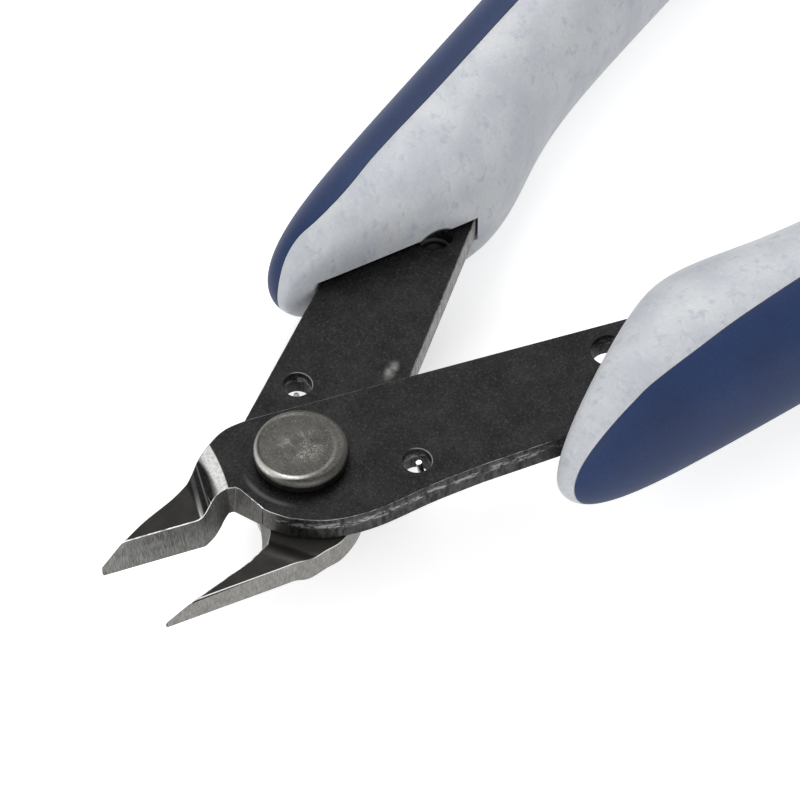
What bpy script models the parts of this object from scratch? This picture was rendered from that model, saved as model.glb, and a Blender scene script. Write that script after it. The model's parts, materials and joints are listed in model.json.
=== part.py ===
"""Flush cutter: two crossed steel plates on one rivet, a wire return spring and two moulded grips.

The tool lies flat with +Z up. +Y runs along the bisector of the arms towards the grips, and the
front arm is the one on the +X side. The world origin is the bottom centre of the resting tool.

Each half is drawn in its own plan coordinates (u, v). u runs from the pivot along the arm towards
the grip, and v points away from the other arm, so both halves share one arm outline. Lengths are
in metres.
"""

import math

import bmesh
import bpy
from mathutils import Vector

MM = 0.001

# How the tool opens. The angles are measured from the centre line of the tool.
OPEN_HALF_ANGLE = math.radians(22.0)
CLOSED_HALF_ANGLE = math.radians(11.25)
HEAD_ANGLE = math.radians(14.5)

# Plates
PLATE_T = 2.5 * MM
PLATE_GAP = 0.2 * MM
EDGE_ROLL = 0.12 * MM
PIVOT_BORE_R = 2.75 * MM
SPRING_HOLE_R = 1.2 * MM
SPRING_HOLE_U = 8.6 * MM
SPRING_HOLE_V = 4.15 * MM
TANG_HOLE_R = 1.6 * MM
TANG_HOLE_U = 28.0 * MM
TANG_HOLE_V = -0.2 * MM
TANG_END_U = 62.0 * MM

# Joggle: the short S bend that brings both jaws to one level
JOGGLE_START = 7.0 * MM
JOGGLE_RUN = 2.6 * MM
JOGGLE_STEPS = 6

# Jaws. The cutting line passes this far from the pivot, on the outer side of the front half.
CUT_OFFSET = 3.5 * MM
CUT_CLEARANCE = 0.05 * MM
CUT_ROOT = 9.6 * MM
CUT_REACH = {"front": 18.5 * MM, "rear": 17.9 * MM}
TIP_WIDTH = 0.35 * MM
BEVEL_RUN = 1.05 * MM

# Throat: the notch behind the root of each jaw. The stop edge of the front half runs from its
# end to the throat corner, and the rear half is relieved there.
THROAT_CORNER = (-4.6 * MM, 4.3 * MM)
CORNER_R = 0.4 * MM
THROAT_END = (-6.75 * MM, 1.3 * MM)
THROAT_RUN = 0.75 * MM
# Throat of the rear half: a point in plan in mm, the bearing of its ground slope in degrees and
# the share of the joggle climbed there.
REAR_THROAT = [
    ((-9.2, 0.64), 80, 0.96),
    ((-8.0, 0.55), 91, 0.52),
    ((-6.6, 0.75), 109, 0.0),
    ((-4.8, 1.75), 125, 0.0),
    ((-3.7, 2.9), 150, 0.0),
]
REAR_THROAT_LAND = (0.05 * MM, 0.04 * MM)

# Rivet, washer and spring
SEAT_GAP = 0.2 * MM
SHANK_R = 2.5 * MM
HEAD_R = 4.0 * MM
HEAD_H = 1.25 * MM
HEAD_ROUND = 0.6 * MM
TAIL_R = 3.4 * MM
TAIL_H = 0.8 * MM
WASHER_RIM = 1.2 * MM
WASHER_T = 0.6 * MM
WIRE_R = 0.26 * MM
COIL_R = 3.45 * MM
COIL_TURNS = 2
COIL_PITCH = 0.75 * MM
FRONT_LEG_TOP = 2.3 * MM
REAR_LEG_DEPTH = 2.1 * MM
LEG_CLIMB = 2.2 * MM
LEG_OVERSHOOT = 0.5 * MM
LEG_OUTSET = 0.35 * MM
LEG_BEND = 0.7 * MM
KNEE_DROP = 1.1 * MM

# Grips
GRIP_GAP = 0.2 * MM
GRIP_FLAT_CUT = 0.3 * MM
GRIP_RING_POINTS = 12
GRIP_SQUARENESS = 2.35
PIN_RELIEF_H = 0.6 * MM
CUT_MARGIN = 4.0 * MM
SLOPE_MARGIN = 0.5 * MM
CUTTER_REACH = 40.0 * MM
CUTTER_HEIGHT = 12.0 * MM
FULL_REACH = 130.0 * MM

PLATE_BOTTOM = {"front": PLATE_GAP / 2, "rear": -PLATE_GAP / 2 - PLATE_T}
JOGGLE_RISE = {"front": -(PLATE_T + PLATE_GAP) / 2, "rear": (PLATE_T + PLATE_GAP) / 2}
SIDE = {"front": 1.0, "rear": -1.0}
GRIP_Z = {"front": (PLATE_T + PLATE_GAP) / 2, "rear": -(PLATE_T + PLATE_GAP) / 2}
CUT_TURN = {"front": CLOSED_HALF_ANGLE - HEAD_ANGLE, "rear": CLOSED_HALF_ANGLE + HEAD_ANGLE}
CUT_SHIFT = {"front": CUT_OFFSET - CUT_CLEARANCE, "rear": -CUT_OFFSET - CUT_CLEARANCE}

# Grip sections from the mouth to the tail: the point on the outer edge, the point on the inner
# edge, and half the height, in millimetres.
GRIP_SECTIONS = [
    ((19.4, 8.6), (31.0, -2.2), 3.0),
    ((18.2, 9.3), (32.8, -3.9), 5.2),
    ((19.1, 11.6), (35.2, -4.7), 6.9),
    ((24.0, 11.8), (38.8, -5.0), 7.4),
    ((32.0, 10.3), (43.5, -4.9), 7.4),
    ((43.0, 8.0), (50.5, -5.6), 7.2),
    ((58.0, 4.9), (61.0, -8.0), 7.0),
    ((78.0, 1.2), (80.0, -12.6), 6.9),
    ((96.0, -3.0), (98.0, -16.7), 6.8),
    ((106.5, -6.0), (108.0, -18.5), 6.4),
    ((111.0, -9.0), (111.5, -17.4), 4.4),
]

# How far along its arm each grip is pushed on, and how far the outer end of its mouth leads
GRIP_SHIFT = {"front": 0.4 * MM, "rear": -1.0 * MM}
MOUTH_LEAD = {"front": 0.0, "rear": 1.6 * MM}
GRIP_TRIM = {"front": 0.0, "rear": 1.0 * MM}

# Where the soft cushion meets the hard core, in plan, in millimetres
CUSHION_LINE = [
    (12.0, 16.0), (19.5, 11.9), (23.6, 9.9), (28.0, 7.5), (32.7, 5.9),
    (38.6, 4.3), (50.0, 1.6), (70.0, -2.9), (95.0, -8.9), (108.0, -11.0), (125.0, -12.0),
]


def clear_scene():
    for obj in list(bpy.data.objects):
        bpy.data.objects.remove(obj, do_unlink=True)


def collection(name):
    made = bpy.data.collections.new(name)
    bpy.context.scene.collection.children.link(made)
    return made


def material(name, colour, roughness, metallic):
    made = bpy.data.materials.new(name)
    made.use_nodes = True
    shader = made.node_tree.nodes["Principled BSDF"]
    shader.inputs["Base Color"].default_value = (*colour, 1.0)
    shader.inputs["Roughness"].default_value = roughness
    shader.inputs["Metallic"].default_value = metallic
    return made


def scaled(points):
    """Plan points given in millimetres, in metres."""
    return [(u * MM, v * MM) for u, v in points]


def spline(points, steps):
    """A smooth curve through the points, ending on the first and last of them."""
    padded = [points[0]] + list(points) + [points[-1]]
    curve = []
    for before, start, end, after in zip(padded, padded[1:], padded[2:], padded[3:]):
        for step in range(steps):
            t = step / steps
            curve.append(tuple(
                0.5 * (2 * b + (c - a) * t + (2 * a - 5 * b + 4 * c - d) * t ** 2
                       + (3 * b - a - 3 * c + d) * t ** 3)
                for a, b, c, d in zip(before, start, end, after)))
    curve.append(tuple(points[-1]))
    return curve


def rounded_corner(before, corner, after, radius, steps):
    """The arc that rounds a corner between two straight edges."""
    corner = Vector(corner)
    back = (Vector(before) - corner).normalized()
    ahead = (Vector(after) - corner).normalized()
    half = back.angle(ahead) / 2
    middle = corner + (back + ahead).normalized() * radius / math.sin(half)
    first = corner + back * radius / math.tan(half) - middle
    last = corner + ahead * radius / math.tan(half) - middle
    sweep = first.angle_signed(last)
    arc = []
    for step in range(steps + 1):
        turn = -sweep * step / steps
        x = first.x * math.cos(turn) - first.y * math.sin(turn)
        y = first.x * math.sin(turn) + first.y * math.cos(turn)
        arc.append((middle.x + x, middle.y + y))
    return arc


def on_cut_line(half, reach, inset=0.0):
    """A point in plan, this far along the cutting line and this far inside the jaw."""
    turn = CUT_TURN[half]
    shift = CUT_SHIFT[half] - inset
    u = shift * math.sin(turn) - reach * math.cos(turn)
    v = shift * math.cos(turn) + reach * math.sin(turn)
    return (u, v)


def tang_outline():
    """The tang inside the grip, from the outer side round its end to the inner side."""
    outer = scaled([(30.0, 4.4), (45.0, 0.6)])
    end_outer = (TANG_END_U, -3.4 * MM)
    end_inner = (TANG_END_U, -6.2 * MM)
    inner = scaled([(45.0, -3.2), (31.4, -2.7)])
    end = rounded_corner(outer[1], end_outer, end_inner, 1.2 * MM, 4)
    end += rounded_corner(end_outer, end_inner, inner[0], 1.2 * MM, 4)
    return outer + end + inner


def outer_arm_edge(half):
    """From the throat round the pivot and along the outer side of the arm."""
    if half == "front":
        edge = [THROAT_CORNER]
        swell = [(-3.4, 5.5), (-0.4, 7.0), (3.6, 7.5), (9.0, 6.95), (13.5, 6.7)]
    else:
        edge = []
        swell = [REAR_THROAT[2][0], (-5.6, 1.2), (-4.0, 2.3), (-3.0, 4.4), (-1.0, 6.1), (3.0, 6.7)]
    return edge + spline(scaled(swell), 4) + scaled([(21.5, 6.7)])


def throat(half):
    """The notch between the jaw root and the end of the throat."""
    root = on_cut_line(half, CUT_ROOT)
    if half == "front":
        return [root] + rounded_corner(root, THROAT_END, THROAT_CORNER, CORNER_R, 3)
    return spline([root] + scaled([point for point, _, _ in REAR_THROAT[:3]]), 3)


def jaw_back(half):
    """The side of the jaw and head that faces away from the cutting line, from tang to tip."""
    if half == "front":
        shoulder = spline(scaled([(-2.5, -5.3), (-4.8, -5.1), (-6.7, -4.1), (-8.8, -2.45)]), 4)
        back = spline(scaled([(-8.8, -2.45), (-11.0, -1.15), (-14.1, 0.15), (-16.5, 1.45)]), 3)
        return shoulder + back[1:]
    return spline(scaled([(7.0, -4.7), (1.5, -5.6), (-2.2, -6.15), (-4.8, -5.85), (-6.3, -5.1),
                          (-7.5, -4.5), (-8.8, -4.0)]), 4)


def plate_outline(half):
    tip = [on_cut_line(half, CUT_REACH[half], TIP_WIDTH), on_cut_line(half, CUT_REACH[half])]
    notch = throat(half) if half == "front" else throat(half)[:-1]
    return outer_arm_edge(half) + tang_outline() + jaw_back(half) + tip + notch


def in_plan(points, half):
    """Plan points as local x and y: v points away from the other arm on both halves."""
    return [(u, -SIDE[half] * v) for u, v in points]


def prism(name, points, low, high, home):
    """A flat outline with straight sides between two heights, as a mesh object."""
    data = bpy.data.curves.new(name, "CURVE")
    data.dimensions = "2D"
    data.fill_mode = "BOTH"
    data.extrude = (high - low) / 2
    line = data.splines.new("POLY")
    line.points.add(len(points) - 1)
    for point, (x, y) in zip(line.points, points):
        point.co = (x, y, 0.0, 1.0)
    line.use_cyclic_u = True
    outline = bpy.data.objects.new(name, data)
    outline.location.z = (high + low) / 2
    home.objects.link(outline)
    bpy.context.view_layer.update()
    evaluated = outline.evaluated_get(bpy.context.evaluated_depsgraph_get())
    mesh = bpy.data.meshes.new_from_object(evaluated)
    mesh.transform(outline.matrix_world)
    bpy.data.objects.remove(outline, do_unlink=True)
    made = bpy.data.objects.new(name, mesh)
    home.objects.link(made)
    with_bmesh(mesh, weld)
    return made


def with_bmesh(mesh, edit):
    work = bmesh.new()
    work.from_mesh(mesh)
    edit(work)
    bmesh.ops.recalc_face_normals(work, faces=work.faces)
    work.to_mesh(mesh)
    work.free()


def weld(work):
    bmesh.ops.remove_doubles(work, verts=work.verts, dist=0.001 * MM)


def as_cutter(obj):
    obj.hide_render = True
    obj.display_type = "WIRE"
    return obj


def cut(obj, cutter, operation="DIFFERENCE"):
    made = obj.modifiers.new(cutter.name, "BOOLEAN")
    made.operation = operation
    made.solver = "EXACT"
    made.object = cutter


def cylinder_cutter(name, parent, x, y, radius, low, high, cutters):
    bpy.ops.mesh.primitive_cylinder_add(vertices=32, radius=radius, depth=high - low,
                                        location=(x, y, (low + high) / 2))
    return adopt(bpy.context.object, name, parent, cutters)


def adopt(made, name, parent, cutters):
    """Names a new primitive and moves it among the cutters."""
    made.name = name
    for owner in list(made.users_collection):
        owner.objects.unlink(made)
    cutters.objects.link(made)
    made.parent = parent
    return as_cutter(made)


def roll_edges(work):
    """Rounds the sheared outline on both faces, where a flat face meets a wall."""
    inside = [edge for edge in work.edges if all(abs(face.normal.z) > 0.9 for face in edge.link_faces)]
    bmesh.ops.dissolve_edges(work, edges=inside)
    edges = [edge for edge in work.edges if len(edge.link_faces) == 2
             and abs(edge.link_faces[0].normal.z) + abs(edge.link_faces[1].normal.z) < 1.2
             and max(abs(face.normal.z) for face in edge.link_faces) > 0.9]
    bmesh.ops.bevel(work, geom=edges, offset=EDGE_ROLL, segments=1, affect="EDGES")


def joggle(work, half):
    """Bends the flat plate across the arm into a smooth step, as thick on the slope as beside it."""
    for step in range(JOGGLE_STEPS + 1):
        station = -JOGGLE_START - JOGGLE_RUN * step / JOGGLE_STEPS
        geometry = list(work.verts) + list(work.edges) + list(work.faces)
        bmesh.ops.bisect_plane(work, geom=geometry, plane_co=(station, 0, 0), plane_no=(1, 0, 0),
                               dist=0.001 * MM)
    middle = PLATE_BOTTOM[half] + PLATE_T / 2
    for vert in work.verts:
        along = min(max((-vert.co.x - JOGGLE_START) / JOGGLE_RUN, 0.0), 1.0)
        slope = math.pi * JOGGLE_RISE[half] / (2 * JOGGLE_RUN) * math.sin(math.pi * along)
        rise = JOGGLE_RISE[half] * (1 - math.cos(math.pi * along)) / 2
        vert.co.z = middle + rise + (vert.co.z - middle) * math.hypot(1.0, slope)


def slope_cutter(name, half, stations, parent, cutters):
    """Slopes an edge of the plate so that it faces up.

    Each station is a point in plan, the way out of the plate, the run of the slope over one plate
    thickness and the height of the plate's lower face.
    """
    over = SLOPE_MARGIN
    work = bmesh.new()
    rings = []
    for point, outward, run, low in stations:
        slope = run / PLATE_T
        far = slope * over + over
        rows = [(-slope * (PLATE_T + over), low + PLATE_T + over), (slope * over, low - over),
                (far, low - over), (far, low + PLATE_T + over)]
        ring = []
        for out, z in rows:
            place = Vector(point) + Vector(outward) * out
            ring.append(work.verts.new((place.x, -SIDE[half] * place.y, z)))
        rings.append(ring)
    work.faces.new(rings[0])
    work.faces.new(rings[-1])
    for this, following in zip(rings, rings[1:]):
        for here, there in zip(range(4), (1, 2, 3, 0)):
            work.faces.new((this[here], this[there], following[there], following[here]))
    bmesh.ops.recalc_face_normals(work, faces=work.faces)
    mesh = bpy.data.meshes.new(name)
    work.to_mesh(mesh)
    work.free()
    made = bpy.data.objects.new(mesh.name, mesh)
    cutters.objects.link(made)
    made.parent = parent
    return as_cutter(made)


def towards(degrees):
    return (math.cos(math.radians(degrees)), math.sin(math.radians(degrees)))


def bevel_stations(half):
    """Along the cutting line from tip to root, and on round the throat of the front half."""
    outward = (math.sin(CUT_TURN[half]), math.cos(CUT_TURN[half]))
    stations = [(on_cut_line(half, reach), outward, BEVEL_RUN, -PLATE_T / 2)
                for reach in (CUT_REACH[half] + CUT_MARGIN, CUT_ROOT)]
    if half == "front":
        root = Vector(stations[1][0])
        end = Vector(THROAT_END)
        corner = Vector(THROAT_CORNER)
        low = PLATE_BOTTOM[half]
        stations[1] = (root, towards(79), BEVEL_RUN, -PLATE_T / 2)
        stations += [(end.lerp(root, 0.08), towards(92), THROAT_RUN, low),
                     (end.lerp(corner, 0.07), towards(119), THROAT_RUN, low),
                     (end.lerp(corner, 0.8), towards(144), THROAT_RUN * 0.06, low)]
    else:
        low = PLATE_BOTTOM[half]
        for point, bearing, climbed in REAR_THROAT:
            outward = towards(bearing)
            foot = Vector(point) * MM + Vector(REAR_THROAT_LAND)
            run = BEVEL_RUN if climbed else THROAT_RUN
            stations.append((foot, outward, run, low + climbed * JOGGLE_RISE[half]))
    return stations


def blade(half, parent, parts, cutters, finish):
    low = PLATE_BOTTOM[half]
    made = prism(half + "_blade", in_plan(plate_outline(half), half), low, low + PLATE_T, parts)
    made.parent = parent
    with_bmesh(made.data, roll_edges)
    with_bmesh(made.data, lambda work: joggle(work, half))
    made.data.materials.append(finish)
    cut(made, slope_cutter(half + "_bevel_cutter", half, bevel_stations(half), parent, cutters))
    bottom = low - CUT_MARGIN
    top = low + PLATE_T + CUT_MARGIN
    holes = [("pivot_bore", 0.0, 0.0, PIVOT_BORE_R),
             ("spring_hole", SPRING_HOLE_U, SPRING_HOLE_V, SPRING_HOLE_R),
             ("tang_hole", TANG_HOLE_U, TANG_HOLE_V, TANG_HOLE_R)]
    for label, u, v, radius in holes:
        name = half + "_" + label
        cut(made, cylinder_cutter(name, parent, u, -SIDE[half] * v, radius, bottom, top, cutters))
    return made


def turned(name, profile, steps, home):
    """A closed profile of radius and height turned about Z."""
    mesh = bpy.data.meshes.new(name)
    count = len(profile)
    edges = [(index, index + 1) for index in range(count - 1)]
    mesh.from_pydata([(radius, 0.0, z) for radius, z in profile], edges, [])
    made = bpy.data.objects.new(name, mesh)
    home.objects.link(made)
    screw = made.modifiers.new("turn", "SCREW")
    screw.steps = steps
    screw.render_steps = steps
    screw.use_merge_vertices = True
    screw.merge_threshold = 0.001 * MM
    return made


def quarter(centre_r, centre_z, radius, start, end, steps):
    points = []
    for step in range(steps + 1):
        angle = math.radians(start + (end - start) * step / steps)
        points.append((centre_r + radius * math.cos(angle), centre_z + radius * math.sin(angle)))
    return points


def stack():
    """Heights of the seats along the rivet, from the head down to the tail."""
    head_seat = PLATE_GAP / 2 + PLATE_T + SEAT_GAP
    coil_top = -PLATE_GAP / 2 - PLATE_T - SEAT_GAP
    coil_bottom = coil_top - COIL_TURNS * COIL_PITCH - 2 * WIRE_R
    washer_top = coil_bottom - SEAT_GAP
    tail_seat = washer_top - WASHER_T - SEAT_GAP
    return head_seat, coil_top, coil_bottom, washer_top, tail_seat


def rivet(root, parts, finish):
    head_seat, _, _, _, tail_seat = stack()
    head_top = head_seat + HEAD_H
    profile = [(0.0, head_top)]
    profile += quarter(HEAD_R - HEAD_ROUND, head_top - HEAD_ROUND, HEAD_ROUND, 90, 0, 4)
    profile += [(HEAD_R - 0.1 * MM, head_seat), (SHANK_R, head_seat), (SHANK_R, tail_seat)]
    profile += [(TAIL_R, tail_seat)]
    profile += quarter(TAIL_R - TAIL_H / 2, tail_seat - TAIL_H / 2, TAIL_H / 2, 0, -90, 4)
    profile += [(0.0, tail_seat - TAIL_H)]
    made = turned("pivot_rivet", profile, 48, parts)
    made.parent = root
    made.data.materials.append(finish)
    return made


def washer(root, parts, finish):
    _, _, _, top, _ = stack()
    inner = SHANK_R + SEAT_GAP
    outer = inner + WASHER_RIM
    chamfer = 0.1 * MM
    low = top - WASHER_T
    profile = [(inner, top), (outer - chamfer, top), (outer, top - chamfer),
               (outer, low + chamfer), (outer - chamfer, low), (inner, low), (inner, top)]
    made = turned("rivet_washer", profile, 40, parts)
    made.parent = root
    made.data.materials.append(finish)
    return made


def polar(radius, angle, z):
    return Vector((radius * math.cos(angle), radius * math.sin(angle), z))


def bent_path(points, trim):
    """A line through the points with each bend between its ends rounded off."""
    path = [points[0]]
    for before, corner, after in zip(points, points[1:], points[2:]):
        first = corner + (before - corner).normalized() * trim
        last = corner + (after - corner).normalized() * trim
        for step in range(5):
            share = step / 4
            path.append(first.lerp(corner, share).lerp(corner.lerp(last, share), share))
    return path + [points[-1]]


def leg(start, hole, tip_z):
    """A straight leg from the coil that climbs to just past its hole and hooks back up into it."""
    along = Vector((hole.x - start.x, hole.y - start.y, 0.0)).normalized()
    knee_z = hole.z - PLATE_T / 2 - KNEE_DROP
    foot = Vector((hole.x, hole.y, start.z)) - along * LEG_CLIMB
    knee = Vector((hole.x, hole.y, knee_z)) + along * LEG_OVERSHOOT
    tip = knee.lerp(hole, (tip_z - knee_z) / (hole.z - knee_z))
    return bent_path([start, foot, knee, tip], LEG_BEND)[1:]


def spring_path():
    """Centre line of the wire: front leg, coil about the rivet, rear leg."""
    _, coil_top, coil_bottom, _, _ = stack()
    reach = math.hypot(SPRING_HOLE_U, SPRING_HOLE_V)
    spread = OPEN_HALF_ANGLE + math.atan2(SPRING_HOLE_V, SPRING_HOLE_U)
    front_hole = math.pi / 2 - spread
    rear_hole = math.pi / 2 + spread
    lean = math.acos(COIL_R / reach)
    top = coil_top - WIRE_R
    bottom = coil_bottom + WIRE_R
    # The wire leaves the coil along its tangent, so each end of the coil leads its hole by lean.
    first = front_hole + lean
    last = rear_hole - lean + 2 * math.pi * (COIL_TURNS - 1)
    if last < first:
        last += 2 * math.pi
    turns = max(8, round((last - first) / (2 * math.pi) * 24))
    coil = []
    for step in range(turns + 1):
        share = step / turns
        coil.append(polar(COIL_R, first + (last - first) * share, top + (bottom - top) * share))
    middle = (PLATE_GAP + PLATE_T) / 2
    out = reach + LEG_OUTSET
    front = leg(coil[0], polar(out, front_hole, middle), FRONT_LEG_TOP)
    rear = leg(coil[-1], polar(out, rear_hole, -middle), -PLATE_GAP / 2 - REAR_LEG_DEPTH)
    return list(reversed(front)) + coil + rear


def spring(root, parts, finish):
    points = spring_path()
    data = bpy.data.curves.new("return_spring", "CURVE")
    data.dimensions = "3D"
    data.bevel_depth = WIRE_R
    data.bevel_resolution = 2
    data.use_fill_caps = True
    line = data.splines.new("POLY")
    line.points.add(len(points) - 1)
    for point, place in zip(line.points, points):
        point.co = (*place, 1.0)
    made = bpy.data.objects.new("return_spring", data)
    parts.objects.link(made)
    made.parent = root
    data.materials.append(finish)
    return made


def grip_ring(work, outer, inner, half_height, half):
    """One section of the grip cage, a rounded square that stands across the grip."""
    middle = (outer + inner) / 2
    across = (outer - inner) / 2
    swell = 6 / (4 + 2 * math.cos(2 * math.pi / GRIP_RING_POINTS))
    power = 2 / GRIP_SQUARENESS
    ring = []
    for step in range(GRIP_RING_POINTS):
        angle = 2 * math.pi * step / GRIP_RING_POINTS
        side = math.copysign(abs(math.cos(angle)) ** power, math.cos(angle)) * swell
        rise = math.copysign(abs(math.sin(angle)) ** power, math.sin(angle)) * swell
        place = middle + across * side
        height = GRIP_Z[half] + half_height * rise
        ring.append(work.verts.new((place.x, -SIDE[half] * place.y, height)))
    return ring


def grip_cage(half):
    """The whole moulded grip as a coarse cage for subdivision."""
    work = bmesh.new()
    rings = []
    for index, (outer, inner, half_height) in enumerate(GRIP_SECTIONS):
        shift = Vector((GRIP_SHIFT[half], 0.0))
        outer, inner = [Vector(point) + shift for point in scaled([outer, inner])]
        inner.y += GRIP_TRIM[half] * min(index / 5, 1.0)
        if index == 0:
            outer.x -= MOUTH_LEAD[half]
        rings.append(grip_ring(work, outer, inner, half_height * MM, half))
    for here, there in zip(rings, rings[1:]):
        for index in range(GRIP_RING_POINTS):
            after = (index + 1) % GRIP_RING_POINTS
            work.faces.new((here[index], here[after], there[after], there[index]))
    for ring in (rings[0], rings[-1]):
        centre = sum((vert.co for vert in ring), Vector()) / len(ring)
        middle = work.verts.new(centre)
        for index in range(GRIP_RING_POINTS):
            work.faces.new((ring[index], ring[(index + 1) % GRIP_RING_POINTS], middle))
    bmesh.ops.recalc_face_normals(work, faces=work.faces)
    mesh = bpy.data.meshes.new(half + "_grip")
    work.to_mesh(mesh)
    work.free()
    return mesh


def offset_line(points, distance):
    """The line moved sideways, towards lower v, by a fixed distance."""
    moved = []
    for index, (u, v) in enumerate(points):
        before = Vector(points[max(index - 1, 0)])
        after = Vector(points[min(index + 1, len(points) - 1)])
        along = (after - before).normalized()
        moved.append((u + along.y * distance, v - along.x * distance))
    return moved


def cushion_side(name, half, parent, distance, cutters):
    """Everything outside the line where the cushion meets the core."""
    line = spline(offset_line(scaled(CUSHION_LINE), distance), 3)
    points = line + [(line[-1][0], CUTTER_REACH), (line[0][0], CUTTER_REACH)]
    made = prism(name, in_plan(points, half), -CUTTER_HEIGHT, CUTTER_HEIGHT, cutters)
    made.parent = parent
    return as_cutter(made)


def pocket_cutter(half, parent, cutters):
    """Room for the tang, open towards the mouth of the grip and along its inner side."""
    tang = offset_outline(pocket_outline(), GRIP_GAP)
    low = PLATE_BOTTOM[half] - GRIP_GAP
    name = half + "_pocket_cutter"
    made = prism(name, in_plan(tang, half), low, low + PLATE_T + 2 * GRIP_GAP, cutters)
    made.parent = parent
    return as_cutter(made)


def pocket_outline():
    """The plate where it lies inside the grip, carried forward past the mouth."""
    mouth = scaled([(31.4, -2.7), (12.0, -4.2), (12.0, 6.7), (21.5, 6.7)])
    return mouth + tang_outline()[:-1]


def offset_outline(points, distance):
    """A closed outline grown by a fixed distance."""
    area = sum(a[0] * b[1] - b[0] * a[1] for a, b in zip(points, points[1:] + points[:1]))
    sign = 1.0 if area > 0 else -1.0
    grown = []
    for index, point in enumerate(points):
        before = (Vector(point) - Vector(points[index - 1])).normalized()
        after = (Vector(points[(index + 1) % len(points)]) - Vector(point)).normalized()
        normal_a = Vector((before.y, -before.x)) * sign
        normal_b = Vector((after.y, -after.x)) * sign
        bisector = (normal_a + normal_b).normalized()
        grow = distance / max(bisector.dot(normal_a), 0.5)
        grown.append((point[0] + bisector.x * grow, point[1] + bisector.y * grow))
    return grown


def relief_cutter(half, parent, cutters):
    """A ball about the tang hole, which leaves a small arch in the mouth above the plate."""
    place = (TANG_HOLE_U, -SIDE[half] * TANG_HOLE_V, GRIP_Z[half])
    bpy.ops.mesh.primitive_uv_sphere_add(segments=24, ring_count=12, location=place,
                                         radius=PLATE_T / 2 + PIN_RELIEF_H)
    return adopt(bpy.context.object, half + "_pin_relief", parent, cutters)


def floor_cutter(half, parent, cutters):
    """Trims a narrow flat along the underside for the tool to lie on."""
    lowest = max(section[2] for section in GRIP_SECTIONS) * MM
    top = GRIP_Z[half] - lowest + GRIP_FLAT_CUT
    far = CUTTER_REACH
    points = [(0.0, -far), (FULL_REACH, -far), (FULL_REACH, far), (0.0, far)]
    made = prism(half + "_floor_cutter", points, top - CUT_MARGIN, top, cutters)
    made.parent = parent
    return as_cutter(made)


def grip_piece(name, mesh, parent, parts, finish):
    made = bpy.data.objects.new(name, mesh)
    parts.objects.link(made)
    made.parent = parent
    smooth = made.modifiers.new("smooth", "SUBSURF")
    smooth.levels = 2
    smooth.render_levels = 2
    mesh.materials.append(finish)
    return made


def grip(half, parent, parts, cutters, core_finish, cushion_finish):
    mesh = grip_cage(half)
    core = grip_piece(half + "_grip_core", mesh, parent, parts, core_finish)
    cushion = grip_piece(half + "_grip_cushion", mesh.copy(), parent, parts, cushion_finish)
    cushion.data.materials.clear()
    cushion.data.materials.append(cushion_finish)
    floor = floor_cutter(half, parent, cutters)
    cut(core, cushion_side(half + "_core_split", half, parent, GRIP_GAP / 2, cutters))
    cut(core, pocket_cutter(half, parent, cutters))
    cut(core, relief_cutter(half, parent, cutters))
    cut(core, floor)
    split = cushion_side(half + "_cushion_split", half, parent, -GRIP_GAP / 2, cutters)
    cut(cushion, split, "INTERSECT")
    cut(cushion, floor)
    return core, cushion


def smooth_shading(parts):
    for obj in parts.objects:
        if obj.type == "MESH":
            obj.data.shade_smooth()
            obj.data.set_sharp_from_angle(angle=math.radians(35))


def stand_on_origin(root, parts):
    """Puts the bottom centre of the whole tool at the world origin."""
    bpy.context.view_layer.update()
    graph = bpy.context.evaluated_depsgraph_get()
    corners = []
    for obj in parts.objects:
        solid = obj.evaluated_get(graph)
        mesh = solid.to_mesh()
        corners += [obj.matrix_world @ vert.co for vert in mesh.vertices]
        solid.to_mesh_clear()
    low = [min(corner[axis] for corner in corners) for axis in range(3)]
    high = [max(corner[axis] for corner in corners) for axis in range(3)]
    root.location = (-(low[0] + high[0]) / 2, -(low[1] + high[1]) / 2, -low[2])
    bpy.context.view_layer.update()


def empty(name, parent, parts):
    made = bpy.data.objects.new(name, None)
    parts.objects.link(made)
    made.parent = parent
    return made


def main():
    clear_scene()
    parts = collection("flush_cutter")
    cutters = collection("cutters")
    guides = collection("guides")
    steel = material("black_oxide_steel", (0.045, 0.045, 0.047), 0.42, 0.9)
    bright = material("rivet_steel", (0.20, 0.195, 0.18), 0.32, 1.0)
    wire = material("spring_steel", (0.55, 0.55, 0.54), 0.25, 1.0)
    hard = material("speckled_plastic", (0.58, 0.60, 0.63), 0.45, 0.0)
    soft = material("navy_soft_plastic", (0.02, 0.045, 0.15), 0.6, 0.0)
    root = empty("pivot", None, guides)
    for half in ("front", "rear"):
        frame = empty(half + "_half", root, guides)
        frame.rotation_euler.z = math.pi / 2 - SIDE[half] * OPEN_HALF_ANGLE
        blade(half, frame, parts, cutters, steel)
        grip(half, frame, parts, cutters, hard, soft)
    rivet(root, parts, bright)
    washer(root, parts, bright)
    spring(root, parts, wire)
    smooth_shading(parts)
    stand_on_origin(root, parts)


main()
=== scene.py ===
"""Scene of the flush cutter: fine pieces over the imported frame, materials, light and camera.

Lengths are in metres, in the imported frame. Each half of the tool is drawn in plan coordinates
(u, v): u runs from the pivot along the arm towards the grip, v away from the other arm.
"""

import json
import math

import bmesh
import bpy
from mathutils import Matrix, Vector


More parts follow.
